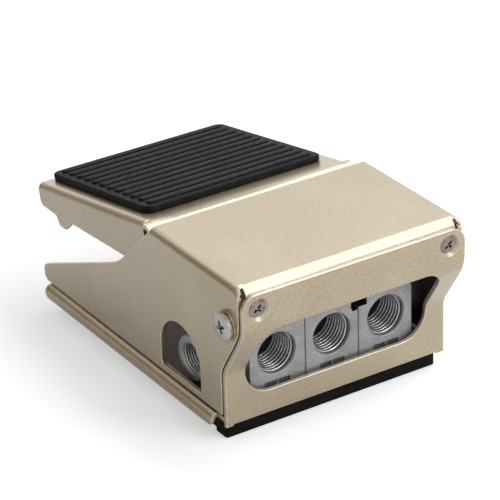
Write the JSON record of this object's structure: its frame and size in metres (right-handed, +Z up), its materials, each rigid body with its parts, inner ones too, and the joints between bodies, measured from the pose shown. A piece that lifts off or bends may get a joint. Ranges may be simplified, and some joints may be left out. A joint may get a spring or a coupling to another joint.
{
  "type": "foot pedal valve",
  "caption": "Pneumatic foot pedal valve: a hinged, rubber-padded pedal on a bent sheet housing presses a spool in a die-cast body with threaded air ports.",
  "frame": {"origin": "centre of the foot mat's underside, on the floor", "axes": "+X to the right as seen from the port panel, +Y from the port panel to the pedal's end, +Z up"},
  "size_m": [0.0854, 0.1274, 0.0557],
  "materials": {
    "painted_sheet": "satin champagne metallic paint",
    "black_rubber": "matt moulded",
    "cast_alloy": "fine die-cast skin",
    "turned_alloy": "turned",
    "bright_steel": "bright zinc plated",
    "yellow_plated": "yellow passivated",
    "bronze": "sintered"
  },
  "bodies": {
    "base": {"base_plate": "painted_sheet", "foot_mat": "black_rubber", "cover": "painted_sheet", "front_screws": "bright_steel", "pivot_screws": "bright_steel", "pivot_split_washers": "bright_steel", "pivot_washers": "yellow_plated", "pivot_bushes": "bronze", "pivot_nuts": "bright_steel", "valve_body": "cast_alloy", "body_screws": "bright_steel", "guide_bush": "bronze", "guide_seals": "black_rubber", "circlip": "bright_steel", "spring_post": "bright_steel", "spool_spring": "bright_steel", "pedal_spring": "bright_steel"},
    "pedal_assembly": {"pedal": "painted_sheet", "pedal_pad": "black_rubber", "pedal_bridge": "bright_steel", "bridge_rivets": "bright_steel", "striker": "bright_steel", "spring_seat": "bright_steel"},
    "spool_assembly": {"spool": "turned_alloy", "spool_seals": "black_rubber"}
  },
  "joints": [
    {"name": "pedal_hinge", "type": "hinge", "parent": "base", "child": "pedal_assembly", "pos_m": [0, -0.05575, 0.0417], "axis": [-1, 0, 0], "range_deg": [0, 8.5], "stiffness_Nm_per_rad": 6, "springref_deg": -17.19, "deforming": ["pedal_spring"]},
    {"name": "spool_slide", "type": "slide", "parent": "base", "child": "spool_assembly", "axis": [0, 0, -1], "range_m": [0, 0.0046], "deforming": ["spool_spring"]}
  ],
  "couplings": [
    {"joint": "spool_slide", "follows": "pedal_hinge", "m_per_rad": 0.03}
  ]
}
